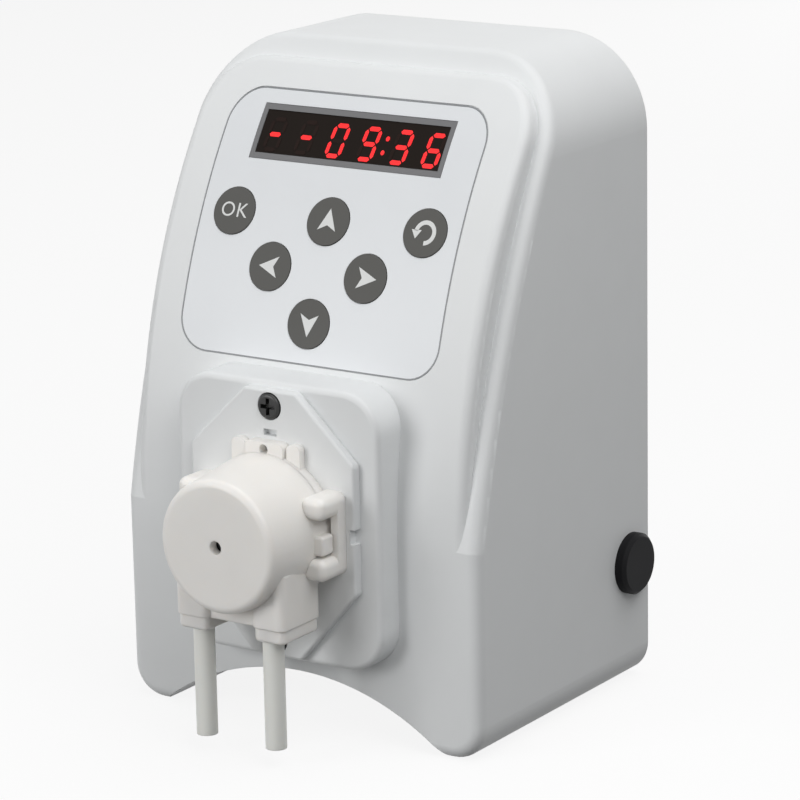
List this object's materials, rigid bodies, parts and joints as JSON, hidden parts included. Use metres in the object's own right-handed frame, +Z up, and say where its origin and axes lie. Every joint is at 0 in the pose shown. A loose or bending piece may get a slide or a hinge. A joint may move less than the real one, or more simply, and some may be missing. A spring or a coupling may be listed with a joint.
{
  "type": "peristaltic dosing pump",
  "caption": "Bench-top tube dosing pump: leaning hood housing with display and keypad, and a clip-on roller pump head with a silicone tube.",
  "frame": {"origin": "middle of the housing's base, between its two foot edges and half-way from its front to its rear, on the surface it stands on", "axes": "+Z up, -Y towards the display and pump head, +X to the side with the round plug"},
  "size_m": [0.1028, 0.1079, 0.1573],
  "materials": {
    "housing_white": "fine moulded semi-matt white",
    "cover_white": "fine moulded semi-matt white",
    "overlay_film": "printed satin film",
    "frame_grey": "printed grey border",
    "window_smoke": "smoked clear acrylic",
    "led_module": "dark red filled display block",
    "circuit_board": "green solder resist",
    "terminal_green": "moulded",
    "black_plastic": "moulded",
    "black_screw": "black oxide",
    "steel_screw": "zinc plated",
    "steel_shaft": "ground",
    "plate_white": "moulded white",
    "gearbox_metal": "bright",
    "motor_metal": "bright",
    "brass_terminal": "stamped",
    "head_nylon": "translucent natural nylon",
    "tube_silicone": "translucent silicone",
    "rotor_plastic": "moulded",
    "roller_plastic": "turned acetal",
    "black_rubber": "moulded matt rubber",
    "key_grey": "printed dark grey"
  },
  "bodies": {
    "housing": {"front_housing": "housing_white", "rear_cover": "cover_white", "rear_cover_screws": "steel_screw", "power_jack": "black_plastic", "power_jack_nut": "steel_screw", "panel_overlay": "overlay_film", "display_frame": "frame_grey", "display_window": "window_smoke", "led_display": "led_module", "control_board": "circuit_board", "board_screws": "steel_screw", "tactile_switches": "black_plastic", "backup_cell": "steel_screw", "driver_parts": "terminal_green", "pump_base_plate": "plate_white", "base_plate_screws": "black_screw", "gearbox": "gearbox_metal", "motor_can": "motor_metal", "motor_terminals": "brass_terminal"},
    "drive": {"drive_shaft": "steel_shaft"},
    "head": {"head_base": "head_nylon", "drum_cover": "head_nylon", "pump_tube": "tube_silicone"},
    "rotor": {"roller_carrier": "rotor_plastic", "carrier_cap": "rotor_plastic", "roller_pins": "steel_shaft"},
    "roller_1": {"roller_1": "roller_plastic"},
    "roller_2": {"roller_2": "roller_plastic"},
    "roller_3": {"roller_3": "roller_plastic"},
    "key_confirm": {"key_confirm": "key_grey"},
    "key_up": {"key_up": "key_grey"},
    "key_back": {"key_back": "key_grey"},
    "key_left": {"key_left": "key_grey"},
    "key_right": {"key_right": "key_grey"},
    "key_down": {"key_down": "key_grey"},
    "plug": {"side_plug": "black_rubber"}
  },
  "joints": [
    {"name": "head_release", "type": "slide", "parent": "housing", "child": "head", "axis": [0, -1, 0], "range_m": [0, 0.024]},
    {"name": "shaft_spin", "type": "hinge", "parent": "housing", "child": "drive", "pos_m": [0, -0.0619, 0.0526], "axis": [0, -1, 0], "continuous": true},
    {"name": "rotor_spin", "type": "hinge", "parent": "head", "child": "rotor", "pos_m": [0, -0.0619, 0.0526], "axis": [0, -1, 0], "continuous": true},
    {"name": "roller_1_spin", "type": "hinge", "parent": "rotor", "child": "roller_1", "pos_m": [0, -0.0619, 0.0586], "axis": [0, -1, 0], "continuous": true},
    {"name": "roller_2_spin", "type": "hinge", "parent": "rotor", "child": "roller_2", "pos_m": [-0.0052, -0.0619, 0.0496], "axis": [0, -1, 0], "continuous": true},
    {"name": "roller_3_spin", "type": "hinge", "parent": "rotor", "child": "roller_3", "pos_m": [0.0052, -0.0619, 0.0496], "axis": [0, -1, 0], "continuous": true},
    {"name": "key_confirm_press", "type": "slide", "parent": "housing", "child": "key_confirm", "axis": [0, 0.8982, -0.4395], "range_m": [0, 0.0003], "stiffness_N_per_m": 300},
    {"name": "key_up_press", "type": "slide", "parent": "housing", "child": "key_up", "axis": [0, 0.8982, -0.4395], "range_m": [0, 0.0003], "stiffness_N_per_m": 300},
    {"name": "key_back_press", "type": "slide", "parent": "housing", "child": "key_back", "axis": [0, 0.8982, -0.4395], "range_m": [0, 0.0003], "stiffness_N_per_m": 300},
    {"name": "key_left_press", "type": "slide", "parent": "housing", "child": "key_left", "axis": [0, 0.9295, -0.3688], "range_m": [0, 0.0003], "stiffness_N_per_m": 300},
    {"name": "key_right_press", "type": "slide", "parent": "housing", "child": "key_right", "axis": [0, 0.9295, -0.3688], "range_m": [0, 0.0003], "stiffness_N_per_m": 300},
    {"name": "key_down_press", "type": "slide", "parent": "housing", "child": "key_down", "axis": [0, 0.9551, -0.2962], "range_m": [0, 0.0003], "stiffness_N_per_m": 300},
    {"name": "plug_pull", "type": "slide", "parent": "housing", "child": "plug", "axis": [1, 0, 0], "range_m": [0, 0.012]}
  ],
  "couplings": [
    {"joint": "shaft_spin", "follows": "rotor_spin", "ratio": 1},
    {"joint": "roller_1_spin", "follows": "rotor_spin", "ratio": -3},
    {"joint": "roller_2_spin", "follows": "rotor_spin", "ratio": -3},
    {"joint": "roller_3_spin", "follows": "rotor_spin", "ratio": -3}
  ]
}
